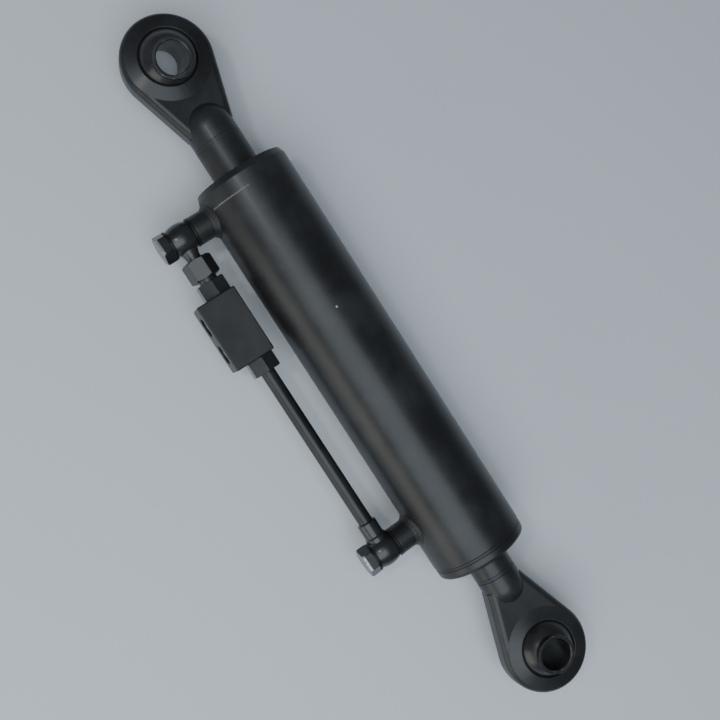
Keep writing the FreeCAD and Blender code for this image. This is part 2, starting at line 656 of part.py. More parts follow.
def make_valve_block():
    low = Vec(valve_bottom, valve_y - valve_width / 2, -valve_thickness / 2)
    block = Part.makeBox(valve_length, valve_width, valve_thickness, low)
    block = block.makeChamfer(valve_edge, block.Edges)
    block = block.cut(cylinder("x", valve_bottom, valve_top, pilot_radius, y=line_y))
    recess_radius = port_thread_radius - stud_neck_depth + stud_oring_section
    orings = []
    for name, face, side in end_ports():
        port = sorted((face, face + side * port_depth))
        block = block.cut(cylinder("x", port[0], port[1], port_thread_radius, y=line_y))
        recess = sorted((face, face + side * stud_oring_section))
        block = block.cut(cylinder("x", recess[0], recess[1], recess_radius, y=line_y))
        middle = face + side * stud_oring_section / 2
        orings.append(oring(middle, recess_radius - stud_oring_section / 2, stud_oring_section, line_y))
        x = valve_middle - side * hose_port_spacing / 2
        block = block.cut(cylinder("y", hose_port_bottom, valve_face, port_thread_radius, x=x))
        x = valve_middle - side * hose_passage_offset
        block = block.cut(cylinder("y", line_y, hose_port_bottom + cut_over, hose_passage / 2, x=x))
    save("valve_block", block)
    save("stud_orings", Part.makeCompound(orings))


def check_spring(start, height):
    """A round wire coiled about the pipe's line, in short straight runs mitred to each other."""
    radius = spring_pocket_radius - spring_wire
    pitch = height / spring_turns
    points = []
    for step in range(spring_runs * spring_turns + 1):
        turn = step / spring_runs
        angle = 2 * math.pi * turn
        points.append(Vec(start + pitch * turn, line_y + radius * math.cos(angle), radius * math.sin(angle)))
    along = (points[1] - points[0]).normalize()
    side = along.cross(AXIS["x"]).normalize()
    up = side.cross(along)
    half = spring_wire / 2
    section = [points[0] + side * (half * c) + up * (half * s) for c, s in around(wire_sides)]
    section_wire = Part.makePolygon(section + section[:1])
    # The third argument keeps the section upright along the coil, the last mitres its corners.
    return Part.makePolygon(points).makePipeShell([section_wire], True, False, 1)


def make_check(name, face, side):
    """Seat, poppet and spring behind one end port; gives the place of the poppet's nose."""
    shoulder = face + side * port_depth
    outlet = shoulder - side * seat_length
    rim = port_thread_radius - thread_gap
    save("check_seat_" + name, turned([(shoulder, seat_bore_radius), (shoulder, rim), (outlet, rim),
                                       (outlet, seat_bore_radius)], line_y))
    # The cone falls by one for each mm, and passes the seat's edge at poppet_gap.
    widest = outlet - side * (seat_overlap + poppet_gap)
    nose = widest + side * poppet_nose
    back = widest - side * poppet_length
    save("check_poppet_" + name, turned([(nose, 0), (nose, poppet_radius - poppet_nose),
                                         (widest, poppet_radius), (back, poppet_radius), (back, 0)], line_y))
    pocket_end = outlet - side * spring_pocket_depth
    clear = spring_wire / 2 + spring_end_gap
    height = abs(pocket_end - back) - 2 * clear
    save("check_spring_" + name, check_spring(min(back, pocket_end) + clear, height))
    return nose


def make_valve():
    make_valve_block()
    noses = [make_check(*end) for end in end_ports()]
    high = max(noses) - pilot_travel
    low = min(noses) + pilot_travel
    body = pilot_length / 2
    outer = pilot_radius - pilot_gap
    pilot = [(low, 0), (low, pilot_pin_radius), (valve_middle - body, pilot_pin_radius),
             (valve_middle - body, outer), (valve_middle + body, outer),
             (valve_middle + body, pilot_pin_radius), (high, pilot_pin_radius), (high, 0)]
    save("pilot_piston", turned(pilot, line_y))


os.makedirs("parts", exist_ok=True)
make_barrel()
make_eyes()
make_gland()
make_rod()
make_ports()
make_union()
make_pipe()
make_valve()
print("ball centres %.1f mm apart with the link closed, stroke %.1f mm" % (rod_ball_x, stroke))
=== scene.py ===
import json
import math

import bpy
import numpy as np
from mathutils import Matrix, Vector


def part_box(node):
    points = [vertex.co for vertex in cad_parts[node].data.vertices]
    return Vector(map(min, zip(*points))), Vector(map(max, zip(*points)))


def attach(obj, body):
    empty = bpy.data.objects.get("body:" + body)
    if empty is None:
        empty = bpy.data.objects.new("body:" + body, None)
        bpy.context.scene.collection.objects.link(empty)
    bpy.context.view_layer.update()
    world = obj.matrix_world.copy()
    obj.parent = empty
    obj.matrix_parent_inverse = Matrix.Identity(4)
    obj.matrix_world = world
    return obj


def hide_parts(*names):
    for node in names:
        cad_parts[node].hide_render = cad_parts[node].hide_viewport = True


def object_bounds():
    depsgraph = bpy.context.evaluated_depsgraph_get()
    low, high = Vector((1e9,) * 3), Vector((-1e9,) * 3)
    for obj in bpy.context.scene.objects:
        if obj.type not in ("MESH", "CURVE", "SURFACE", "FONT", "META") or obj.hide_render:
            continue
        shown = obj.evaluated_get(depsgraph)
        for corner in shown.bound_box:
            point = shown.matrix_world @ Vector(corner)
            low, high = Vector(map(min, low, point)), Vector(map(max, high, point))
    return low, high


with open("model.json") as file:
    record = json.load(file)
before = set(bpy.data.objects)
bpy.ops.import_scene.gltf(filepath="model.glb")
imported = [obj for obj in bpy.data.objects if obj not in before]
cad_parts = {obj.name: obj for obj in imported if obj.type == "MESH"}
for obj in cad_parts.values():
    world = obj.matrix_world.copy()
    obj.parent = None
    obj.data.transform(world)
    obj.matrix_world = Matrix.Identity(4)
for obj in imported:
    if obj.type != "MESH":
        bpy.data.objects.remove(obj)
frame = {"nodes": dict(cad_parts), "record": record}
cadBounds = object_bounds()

nodes = frame["nodes"]
mm = 0.001
print("frame loaded,", len(nodes), "nodes")


# Small helpers for node trees

# Links inputs to sockets or sets them to values. They are named, with _ for a space, or i0, i1 by place.
def fill(tree, sockets, inputs):
    for key, value in inputs.items():
        name = int(key[1:]) if key[1:].isdigit() else key.replace("_", " ")
        if isinstance(value, bpy.types.NodeSocket):
            tree.links.new(value, sockets[name])
        else:
            sockets[name].default_value = value


def put(tree, kind, attributes=None, **inputs):
    node = tree.nodes.new("ShaderNode" + kind)
    for key, value in (attributes or {}).items():
        setattr(node, key, value)
    fill(tree, node.inputs, inputs)
    return node


def calc(tree, operation, first, second=0.0, clamp=False):
    return put(tree, "Math", {"operation": operation, "use_clamp": clamp}, i0=first, i1=second).outputs[0]


# Runs smoothly from start at low to end at high.
def ramp(tree, value, low, high, start=0.0, end=1.0):
    node = put(tree, "MapRange", {"interpolation_type": "SMOOTHSTEP"},
               i0=value, i1=low, i2=high, i3=start, i4=end)
    return node.outputs["Result"]


def noise(tree, where, scale, detail=3.0, roughness=0.55):
    node = put(tree, "TexNoise", Vector=where, Scale=scale, Detail=detail, Roughness=roughness)
    return node.outputs["Fac"]


# Mixes two colours by a mask.
def blend(tree, factor, first, second):
    node = put(tree, "Mix", {"data_type": "RGBA"}, i0=factor, i6=first, i7=second)
    return node.outputs[2]


# A bump of so many mm, on the surface itself or over the normal that is passed on.
def bump(tree, height, depth, strength=1.0, **under):
    node = put(tree, "Bump", Strength=strength, Distance=depth * mm, Height=height, **under)
    return node.outputs[0]


# A slow noise that strays to both sides of zero, by up to half of the reach.
def stray(tree, place, scale, detail, reach):
    return calc(tree, "MULTIPLY", calc(tree, "SUBTRACT", noise(tree, place, scale, detail), 0.5), reach)


def objectPlace(tree):
    return put(tree, "TexCoord").outputs["Object"]


def colour(red, green, blue):
    return (red, green, blue, 1.0)


# A node group with named inputs (name: start value) and outputs (name: kind).
def startGroup(name, given, gives):
    group = bpy.data.node_groups.new(name, "ShaderNodeTree")
    for label, value in given.items():
        kind = "NodeSocketVector" if value is None else "NodeSocketFloat"
        socket = group.interface.new_socket(name=label, in_out="INPUT", socket_type=kind)
        if value is not None:
            socket.default_value = value
    for label, kind in gives.items():
        group.interface.new_socket(name=label, in_out="OUTPUT", socket_type="NodeSocket" + kind)
    inside = group.nodes.new("NodeGroupInput").outputs
    outside = group.nodes.new("NodeGroupOutput").inputs
    return group, inside, outside


def useGroup(tree, group, **inputs):
    node = tree.nodes.new("ShaderNodeGroup")
    node.node_tree = group
    fill(tree, node.inputs, inputs)
    return node.outputs


# Shared effects

sprayLook = {
    "dustSize": 3.1,      # how much finer the dust in the film is than the orange peel
    "dustFrom": 0.70,     # noise value where a speck of dust starts, and where it is full
    "dustFull": 0.78,
    "dustHeight": 0.8,    # heights against that of the orange peel
    "filmHeight": 0.4,
}


# Orange peel of sprayed paint, with a slow change of film thickness.
def makeSprayCoat():
    group, given, gives = startGroup("sprayCoat", {"Place": None, "Peel size": 700.0, "Film size": 26.0},
                                     {"Height": "Float", "Film": "Float"})
    peel = noise(group, given["Place"], given["Peel size"], 2.0, 0.5)
    film = noise(group, given["Place"], given["Film size"], 4.0, 0.6)
    speckSize = calc(group, "MULTIPLY", given["Peel size"], sprayLook["dustSize"])
    speck = noise(group, given["Place"], speckSize, 1.0, 0.4)
    dust = ramp(group, speck, sprayLook["dustFrom"], sprayLook["dustFull"])
    rough = calc(group, "ADD", peel, calc(group, "MULTIPLY", dust, sprayLook["dustHeight"]))
    slow = calc(group, "MULTIPLY", film, sprayLook["filmHeight"])
    group.links.new(calc(group, "ADD", rough, slow), gives["Height"])
    group.links.new(film, gives["Film"])
    return group


wearLook = {
    "flat": 0.995,        # cosine between the rounded and the true normal where an edge starts
    "sharp": 0.90,        # and where it counts in full
    "limit": 0.80,        # noise value above which an edge is worn, before the cover lowers it
    "coverReach": 0.5,    # how far full cover lowers it
    "from": -0.03,        # a worn patch grows over this span about that value
    "full": 0.05,
}


# Rounds sharp edges for the eye and masks the places where the paint is thin on them.
def makeEdgeWear():
    group, given, gives = startGroup("edgeWear",
                                     {"Place": None, "Radius": 0.0006, "Patch size": 160.0, "Cover": 0.5},
                                     {"Mask": "Float", "Normal": "Vector"})
    rounded = put(group, "Bevel", {"samples": 6}, Radius=given["Radius"]).outputs["Normal"]
    sharp = put(group, "NewGeometry").outputs["Normal"]
    turn = put(group, "VectorMath", {"operation": "DOT_PRODUCT"}, i0=rounded, i1=sharp).outputs["Value"]
    edge = ramp(group, turn, wearLook["flat"], wearLook["sharp"])
    patch = noise(group, given["Place"], given["Patch size"], 5.0, 0.7)
    lower = calc(group, "MULTIPLY", given["Cover"], wearLook["coverReach"])
    limit = calc(group, "SUBTRACT", wearLook["limit"], lower)
    worn = ramp(group, calc(group, "SUBTRACT", patch, limit), wearLook["from"], wearLook["full"])
    group.links.new(calc(group, "MULTIPLY", edge, worn), gives["Mask"])
    group.links.new(rounded, gives["Normal"])
    return group


scuffLook = {
    "sets": ((0.4, (0.12, 3.0, 3.0)), (-1.1, (0.2, 4.0, 4.0))),   # turn in radians and stretch of each set
    "tilt": 0.3,          # share of the turn that is made about Y
    "width": 0.0035,      # half the width of a scratch, as a noise value
    "limit": 0.85,        # noise value above which scratches show, before the amount lowers it
    "amountReach": 0.4,   # how far a full amount lowers it
    "full": 0.9,          # noise value where they are strongest
}


# Fine stray scratches: two stretched noises, kept only where their value is close to the middle.
def makeScuffs():
    group, given, gives = startGroup("scuffs", {"Place": None, "Size": 40.0, "Amount": 0.5},
                                     {"Mask": "Float"})
    lines = None
    for turn, stretch in scuffLook["sets"]:
        tilt = (turn, scuffLook["tilt"] * turn, turn)
        where = put(group, "Mapping", Vector=given["Place"], Rotation=tilt, Scale=stretch).outputs[0]
        streak = noise(group, where, given["Size"], 2.0, 0.5)
        near = calc(group, "ABSOLUTE", calc(group, "SUBTRACT", streak, 0.5))
        line = ramp(group, near, scuffLook["width"], 0.0)
        lines = line if lines is None else calc(group, "MAXIMUM", lines, line)
    patchSize = calc(group, "MULTIPLY", given["Size"], 0.5)
    patch = noise(group, given["Place"], patchSize, 3.0, 0.6)
    lower = calc(group, "MULTIPLY", given["Amount"], scuffLook["amountReach"])
    limit = calc(group, "SUBTRACT", scuffLook["limit"], lower)
    shown = ramp(group, patch, limit, scuffLook["full"])
    group.links.new(calc(group, "MULTIPLY", lines, shown), gives["Mask"])
    return group


latheLook = {"driftSize": 120.0, "drift": 3.0}   # slow shift of the rings, in radians


# Rings left by a turning tool, for a face that runs along or out from the X axis:
# height = sin(2 pi (x + sqrt(y^2 + z^2)) / pitch + drift).
def makeLatheMarks():
    group, given, gives = startGroup("latheMarks", {"Place": None, "Pitch": 0.0004}, {"Height": "Float"})
    parts = put(group, "SeparateXYZ", Vector=given["Place"]).outputs
    squares = calc(group, "ADD", calc(group, "POWER", parts[1], 2.0), calc(group, "POWER", parts[2], 2.0))
    out = calc(group, "SQRT", squares)
    along = calc(group, "ADD", parts[0], out)
    phase = calc(group, "MULTIPLY", calc(group, "DIVIDE", along, given["Pitch"]), 2 * math.pi)
    slow = noise(group, given["Place"], latheLook["driftSize"], 2.0)
    drift = calc(group, "MULTIPLY", slow, latheLook["drift"])
    group.links.new(calc(group, "SINE", calc(group, "ADD", phase, drift)), gives["Height"])
    return group


sprayCoat = makeSprayCoat()
edgeWear = makeEdgeWear()
scuffs = makeScuffs()
latheMarks = makeLatheMarks()


def startMaterial(name):
    material = bpy.data.materials.new(name)
    material.use_nodes = True
    tree = material.node_tree
    tree.nodes.clear()
    output = put(tree, "OutputMaterial")
    shader = put(tree, "BsdfPrincipled")
    tree.links.new(shader.outputs[0], output.inputs[0])
    return material, tree, shader


def feed(tree, shader, **inputs):
    fill(tree, shader.inputs, inputs)


# Paint

paint = {
    "black": (0.0115, 0.0120, 0.0130),   # the dry film
    "thin": (0.030, 0.031, 0.033),       # where the film is thin
    "steel": (0.52, 0.52, 0.53),
    "roughness": 0.34,
    "filmFrom": 0.35,                    # film value where it starts to thin, and where it is thin
    "filmFull": 0.75,
    "filmRoughness": 0.10,               # added where the film is thin
    "edgeBare": 0.85,                    # how much steel shows at a worn edge
    "scratchPale": 0.35,                 # strength of the pale scratches
    "pale": (0.19, 0.19, 0.185),         # scratched film
    "paleRoughness": 0.3,                # added where it is scratched
    "coat": 0.10,                        # gloss layer of the enamel
    "coatRoughness": 0.20,
    "glossSmoothing": 0.1,               # how far full extra gloss smooths that layer
}


# Black enamel, paler where the film is thin.
def filmColour(tree, film):
    thin = ramp(tree, film, paint["filmFrom"], paint["filmFull"])
    return blend(tree, thin, colour(*paint["black"]), colour(*paint["thin"]))


# Black enamel. ground adds the surface under the film, marks adds masks of bare or pale places; on the bolts
# the bare mask also holds a painted highlight.
def paintMaterial(name, peel=700.0, depth=0.010, roughness=0.0, wear=0.35, radius=0.6, scuff=0.2, gloss=0.0,
                  ground=None, marks=None):
    material, tree, shader = startMaterial(name)
    place = objectPlace(tree)
    coat = useGroup(tree, sprayCoat, Place=place, Peel_size=peel)
    edge = useGroup(tree, edgeWear, Place=place, Radius=radius * mm, Cover=wear)
    scratch = useGroup(tree, scuffs, Place=place, Amount=scuff)["Mask"]
    bare = calc(tree, "MULTIPLY", edge["Mask"], paint["edgeBare"])
    pale = calc(tree, "MULTIPLY", scratch, paint["scratchPale"])
    if marks:
        bareAndHighlightMore, paleMore = marks(tree, place)
        bare = calc(tree, "MAXIMUM", bare, bareAndHighlightMore)
        pale = calc(tree, "MAXIMUM", pale, paleMore)
    film = blend(tree, pale, filmColour(tree, coat["Film"]), colour(*paint["pale"]))
    # Bare steel at worn places; on the bolt heads it also paints the highlight where the light falls.
    base = blend(tree, bare, film, colour(*paint["steel"]))
    duller = calc(tree, "MULTIPLY", coat["Film"], paint["filmRoughness"])
    dull = calc(tree, "ADD", paint["roughness"] + roughness, duller)
    dull = calc(tree, "ADD", dull, calc(tree, "MULTIPLY", pale, paint["paleRoughness"]), True)
    normal = bump(tree, coat["Height"], depth, Normal=edge["Normal"])
    if ground:
        height, deep = ground(tree, place)
        normal = bump(tree, height, deep, Normal=normal)
    feed(tree, shader, Base_Color=base, Metallic=bare, Roughness=dull, Normal=normal)
    coatRoughness = paint["coatRoughness"] - paint["glossSmoothing"] * gloss
    feed(tree, shader, Coat_Weight=paint["coat"] + gloss, Coat_Roughness=coatRoughness)
    return material


# A soft-edged band from low to high.
def between(tree, value, low, high, soft):
    return calc(tree, "MULTIPLY", ramp(tree, value, low - soft, low), ramp(tree, value, high + soft, high))


# A round mask about a point, full within its core and fading to its radius.
def blob(tree, place, centre, radius, core):
    gap = put(tree, "VectorMath", {"operation": "DISTANCE"}, i0=place, i1=centre).outputs["Value"]
    return ramp(tree, gap, radius, radius * core)


tubeLow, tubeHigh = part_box("barrel_tube")
barrelRadius = tubeHigh.z

barrelMarks = {
    "scuffBack": 16.5,      # mm from the gland end to the scuffed line
    "scuffWidth": 0.7,      # mm
    "scuffWander": 1.2,     # mm between the ends of its straying to and fro
    "scuffFrom": 12.0,      # degrees from the top toward the ports
    "scuffTo": 63.0,
    "scuffSoft": 0.06,      # radians over which its ends fade
    "brokenFrom": 0.36,     # noise value where the line starts to show, and where it is full
    "brokenFull": 0.56,
    "chipAlong": 0.3285,    # m along the link
    "chipDegrees": 2.0,     # from the top toward the ports
    "chipRadius": 1.1,      # mm
    "chipCore": 0.6,        # share of that radius that is bare in full
}


# The point of the barrel's surface at a place along the link and an angle from the top.
def onBarrel(along, degrees):
    angle = math.radians(degrees)
    return (along, barrelRadius * math.sin(angle), barrelRadius * math.cos(angle))


# Masks of the bare chip and of the pale scuffed line.
def marksOnBarrel(tree, place):
    parts = put(tree, "SeparateXYZ", Vector=place).outputs
    angle = calc(tree, "ARCTAN2", parts[1], parts[2])
    line = tubeHigh.x - barrelMarks["scuffBack"] * mm
    half = barrelMarks["scuffWidth"] * mm / 2
    shifted = calc(tree, "ADD", parts[0], stray(tree, place, 90.0, 3.0, barrelMarks["scuffWander"] * mm))
    ring = between(tree, shifted, line - half, line + half, half)
    start = math.radians(barrelMarks["scuffFrom"])
    end = math.radians(barrelMarks["scuffTo"])
    arc = between(tree, angle, start, end, barrelMarks["scuffSoft"])
    grain = noise(tree, place, 900.0, 3.0, 0.7)
    broken = ramp(tree, grain, barrelMarks["brokenFrom"], barrelMarks["brokenFull"])
    scuff = calc(tree, "MULTIPLY", calc(tree, "MULTIPLY", ring, arc), broken)
    centre = onBarrel(barrelMarks["chipAlong"], barrelMarks["chipDegrees"])
    chip = blob(tree, place, centre, barrelMarks["chipRadius"] * mm, barrelMarks["chipCore"])
    return chip, scuff


# Each ground is the surface under the film: its height, and the depth of that height in mm.
groundDepth = {"forged": 0.06, "turned": 0.004, "drawn": 0.012, "milled": 0.006, "weld": 0.05}
forging = {
    "pitFrom": 0.62,      # noise value where a scale pit starts, and where it is full
    "pitFull": 0.74,
    "pitDepth": 0.6,      # against the height of the skin
    "flashHalf": 0.5,     # mm from the middle plane, where the trimmed flash is full
    "flashEnd": 1.0,      # and where it ends
    "flashHeight": 2.0,   # against the height of the skin
}


# Scale-pitted forging skin, with the trimmed flash along the middle plane.
def forgedGround(tree, place):
    skin = noise(tree, place, 240.0, 4.0, 0.65)
    pit = noise(tree, place, 520.0, 2.0)
    pits = ramp(tree, pit, forging["pitFrom"], forging["pitFull"], 0.0, -forging["pitDepth"])
    height = put(tree, "SeparateXYZ", Vector=place).outputs[2]
    off = calc(tree, "ABSOLUTE", height)
    flash = ramp(tree, off, forging["flashEnd"] * mm, forging["flashHalf"] * mm)
    pitted = calc(tree, "ADD", skin, pits)
    ridge = calc(tree, "MULTIPLY", flash, forging["flashHeight"])
    return calc(tree, "ADD", pitted, ridge), groundDepth["forged"]


def turnedGround(tree, place):
    return useGroup(tree, latheMarks, Place=place, Pitch=0.0006)["Height"], groundDepth["turned"]


# Long faint lines of drawn tube, along X.
def drawnGround(tree, place):
    where = put(tree, "Mapping", Vector=place, Scale=(0.04, 1.0, 1.0)).outputs[0]
    return noise(tree, where, 380.0, 3.0, 0.6), groundDepth["drawn"]


# Faint arcs of a face mill.
def milledGround(tree, place):
    where = put(tree, "Mapping", Vector=place, Location=(-0.30, 0.0, 0.0)).outputs[0]
    wave = put(tree, "TexWave", {"wave_type": "RINGS", "rings_direction": "SPHERICAL"},
               Vector=where, Scale=160.0, Distortion=1.5, Detail=2.0, Detail_Scale=2.0)
    return wave.outputs["Fac"], groundDepth["milled"]


def weldGround(tree, place):
    return noise(tree, place, 900.0, 4.0, 0.7), groundDepth["weld"]


barrelPaint = paintMaterial("barrelPaint", depth=0.008, wear=0.25, scuff=0.25, ground=drawnGround,
                            marks=marksOnBarrel)
capPaint = paintMaterial("capPaint", depth=0.008, wear=0.2, radius=0.8, ground=turnedGround)
forgedPaint = paintMaterial("forgedPaint", peel=520.0, depth=0.012, wear=0.12, radius=1.2, scuff=0.1,
                            ground=forgedGround)
weldPaint = paintMaterial("weldPaint", peel=600.0, roughness=0.08, wear=0.1, radius=0.8, scuff=0.0,
                          ground=weldGround)
fittingPaint = paintMaterial("fittingPaint", peel=900.0, depth=0.006, roughness=-0.06, wear=0.3, radius=0.7,
                             gloss=0.35, ground=turnedGround)
blockPaint = paintMaterial("blockPaint", peel=800.0, depth=0.008, roughness=0.08, wear=0.2, radius=0.7,
                           ground=milledGround)
pipePaint = paintMaterial("pipePaint", peel=900.0, depth=0.006, wear=0.2, scuff=0.35, ground=drawnGround)
print("paints ready")


# Bare and half-painted metal

rodFinish = {
    "chrome": (0.62, 0.62, 0.63),
    "chromeRoughness": 0.09,
    "chromeUneven": 0.05,     # spread of that roughness
    "line": 1.5,              # mm beyond the barrel's end where the black starts
    "ragged": 2.0,            # mm between the ends of its straying to and fro
    "soft": 0.6,              # mm to each side over which it fades
    "ringPitch": 0.0009,      # m from one polishing ring to the next
    "ringDepth": 0.0015,      # mm
    "peelDepth": 0.010,       # mm
}


# Hard chrome inside the cylinder; what stood out of it when the link was sprayed is black.
def makeRodFinish():
    material, tree, shader = startMaterial("rodFinish")
    place = objectPlace(tree)
    coat = useGroup(tree, sprayCoat, Place=place, Peel_size=700.0)
    along = put(tree, "SeparateXYZ", Vector=place).outputs[0]
    ragged = stray(tree, place, 300.0, 4.0, rodFinish["ragged"] * mm)
    line = tubeHigh.x + rodFinish["line"] * mm
    soft = rodFinish["soft"] * mm
    sprayed = ramp(tree, calc(tree, "ADD", along, ragged), line - soft, line + soft)
    base = blend(tree, sprayed, colour(*rodFinish["chrome"]), filmColour(tree, coat["Film"]))
    rings = useGroup(tree, latheMarks, Place=place, Pitch=rodFinish["ringPitch"])["Height"]
    thinner = calc(tree, "MULTIPLY", coat["Film"], paint["filmRoughness"])
    painted = calc(tree, "ADD", paint["roughness"], thinner)
    uneven = calc(tree, "MULTIPLY", coat["Film"], rodFinish["chromeUneven"])
    polished = calc(tree, "ADD", rodFinish["chromeRoughness"], uneven)
    dull = put(tree, "Mix", {"data_type": "FLOAT"}, i0=sprayed, i2=polished, i3=painted).outputs[0]
    normal = bump(tree, rings, rodFinish["ringDepth"], 0.5)
    peel = calc(tree, "MULTIPLY", coat["Height"], sprayed)
    normal = bump(tree, peel, rodFinish["peelDepth"], Normal=normal)
    metallic = calc(tree, "SUBTRACT", 1.0, sprayed)
    feed(tree, shader, Base_Color=base, Metallic=metallic, Roughness=dull, Normal=normal)
    return material


bareMetal = {
    "edgeCover": 0.8,         # how much of the edges is rubbed bright
    "edgeLight": 1.25,        # a rubbed edge against the tint, and what is added to it
    "edgeLift": 0.02,
    "stainFrom": 0.40,        # noise value where oil and handling start to darken, and where they are full
    "stainFull": 0.72,
    "stainRoughness": 0.12,   # added where it is stained
    "toolDepth": 0.006,       # mm
    "grainDepth": 0.010,      # mm, of the grain where there are no tool marks
}


# Bare metal with tool marks or a fine grain, darker where oil and handling left it.
def metalMaterial(name, tint, roughness, pitch=None, radius=0.3, grime=0.3, metal=1.0):
    material, tree, shader = startMaterial(name)
    place = objectPlace(tree)
    edge = useGroup(tree, edgeWear, Place=place, Radius=radius * mm, Cover=bareMetal["edgeCover"])
    stain = noise(tree, place, 90.0, 5.0, 0.65)
    stain = ramp(tree, stain, bareMetal["stainFrom"], bareMetal["stainFull"])
    dark = tuple(part * (1 - grime) for part in tint)
    base = blend(tree, stain, colour(*tint), colour(*dark))
    light = tuple(min(1.0, part * bareMetal["edgeLight"] + bareMetal["edgeLift"]) for part in tint)
    base = blend(tree, edge["Mask"], base, colour(*light))
    dull = calc(tree, "ADD", roughness, calc(tree, "MULTIPLY", stain, bareMetal["stainRoughness"]))
    if pitch:
        height = useGroup(tree, latheMarks, Place=place, Pitch=pitch)["Height"]
        normal = bump(tree, height, bareMetal["toolDepth"], Normal=edge["Normal"])
    else:
        height = noise(tree, place, 1600.0, 3.0, 0.6)
        normal = bump(tree, height, bareMetal["grainDepth"], Normal=edge["Normal"])
    feed(tree, shader, Base_Color=base, Roughness=dull, Normal=normal, Metallic=metal)
    return material


ballFinish = {
    "black": (0.016, 0.016, 0.017),
    "thin": (0.028, 0.028, 0.029),    # where the blacking is thin
    "thinFrom": 0.35,                 # noise value where it starts to thin, and where it is thin
    "thinFull": 0.75,
    "bare": (0.60, 0.61, 0.62),
    "edgeRadius": 0.9,                # mm
    "edgeCover": 0.45,
    "edgeBare": 0.7,                  # how much steel shows on a rim, and in a scratch
    "scratchBare": 0.3,
    "roughness": 0.30,
    "thinRoughness": 0.14,            # added where the blacking is thin
    "grainDepth": 0.008,              # mm
}


# Blackened and oiled ball, bright where the rims of its collars are handled.
def makeBallFinish():
    material, tree, shader = startMaterial("ballFinish")
    place = objectPlace(tree)
    radius = ballFinish["edgeRadius"] * mm
    edge = useGroup(tree, edgeWear, Place=place, Radius=radius, Cover=ballFinish["edgeCover"])
    scratch = useGroup(tree, scuffs, Place=place, Size=60.0, Amount=0.4)["Mask"]
    skin = ramp(tree, noise(tree, place, 60.0, 4.0), ballFinish["thinFrom"], ballFinish["thinFull"])
    base = blend(tree, skin, colour(*ballFinish["black"]), colour(*ballFinish["thin"]))
    rim = calc(tree, "MULTIPLY", edge["Mask"], ballFinish["edgeBare"])
    bare = calc(tree, "MAXIMUM", rim, calc(tree, "MULTIPLY", scratch, ballFinish["scratchBare"]))
    base = blend(tree, bare, base, colour(*ballFinish["bare"]))
    duller = calc(tree, "MULTIPLY", skin, ballFinish["thinRoughness"])
    dull = calc(tree, "ADD", ballFinish["roughness"], duller)
    grain = noise(tree, place, 1100.0, 2.0)
    normal = bump(tree, grain, ballFinish["grainDepth"], Normal=edge["Normal"])
    feed(tree, shader, Base_Color=base, Metallic=bare, Roughness=dull, Normal=normal)
    feed(tree, shader, Coat_Weight=0.3, Coat_Roughness=0.15)
    return material


# Where the bolt heads are painted bare and bright: this stands for both wear and the highlight on the upward
# flat.
boltWearAndHighlightLook = {
    "from": 50.0,         # degrees from +X toward +Z
    "to": 116.0,
    "soft": 0.05,         # radians over which the sides of that sector fade
    "band": 1.9,          # mm from the head's end
    "rim": 0.1,           # mm over which the band's edges fade
    "reach": 15.0,        # mm from the bolt's axis to where its mask starts to fade
    "reachEnd": 16.0,     # and to where it ends, well before the other bolt
    "raggedFrom": 0.30,   # noise value where the bare place starts to show, and where it is full
    "raggedFull": 0.42,
}


# Wear and painted highlight: the bevelled end of each head is painted as bare, bright steel on the flat that
# faces up, where the light falls on it.
def boltWearAndHighlight(tree, place):
    parts = put(tree, "SeparateXYZ", Vector=place).outputs
    start = math.radians(boltWearAndHighlightLook["from"])
    stop = math.radians(boltWearAndHighlightLook["to"])
    rim = boltWearAndHighlightLook["rim"] * mm
    bare = None
    for name in ("banjo_bolt_rod_side", "banjo_bolt_base_side"):
        low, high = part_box(name)
        across = calc(tree, "SUBTRACT", parts[0], (low.x + high.x) / 2)
        angle = calc(tree, "ARCTAN2", parts[2], across)
        sector = between(tree, angle, start, stop, boltWearAndHighlightLook["soft"])
        off = calc(tree, "ABSOLUTE", across)
        here = ramp(tree, off, boltWearAndHighlightLook["reachEnd"] * mm, boltWearAndHighlightLook["reach"] * mm)
        end = between(tree, parts[1], high.y - boltWearAndHighlightLook["band"] * mm, high.y - rim, rim)
        mask = calc(tree, "MULTIPLY", calc(tree, "MULTIPLY", sector, here), end)
        bare = mask if bare is None else calc(tree, "MAXIMUM", bare, mask)
    grain = noise(tree, place, 420.0, 4.0, 0.7)
    ragged = ramp(tree, grain, boltWearAndHighlightLook["raggedFrom"], boltWearAndHighlightLook["raggedFull"])
    return calc(tree, "MULTIPLY", bare, ragged), 0.0


chromeRod = makeRodFinish()
ballBlack = makeBallFinish()
boltPaint = paintMaterial("boltPaint", peel=900.0, depth=0.006, roughness=-0.06, wear=0.3, gloss=0.35,
                          marks=boltWearAndHighlight)
washerSteel = metalMaterial("washerSteel", (0.020, 0.019, 0.017), 0.36, radius=0.2, metal=0.3)
machinedSteel = metalMaterial("machinedSteel", (0.46, 0.46, 0.47), 0.28, pitch=0.0005)
portSteel = metalMaterial("portSteel", (0.30, 0.30, 0.31), 0.36, pitch=0.0007)
springSteel = metalMaterial("springSteel", (0.33, 0.33, 0.35), 0.3, grime=0.4)
bushBronze = metalMaterial("bushBronze", (0.50, 0.33, 0.15), 0.32, pitch=0.0006)


rubberLook = {
    "mottleFrom": 0.4,        # noise value where the mottling starts, and where it is full
    "mottleFull": 0.7,
    "mottleLight": 1.8,       # a pale place against the tint, and what is added to it
    "mottleLift": 0.01,
    "mottleRoughness": 0.1,   # added where it is pale
    "grainDepth": 0.02,       # mm
}


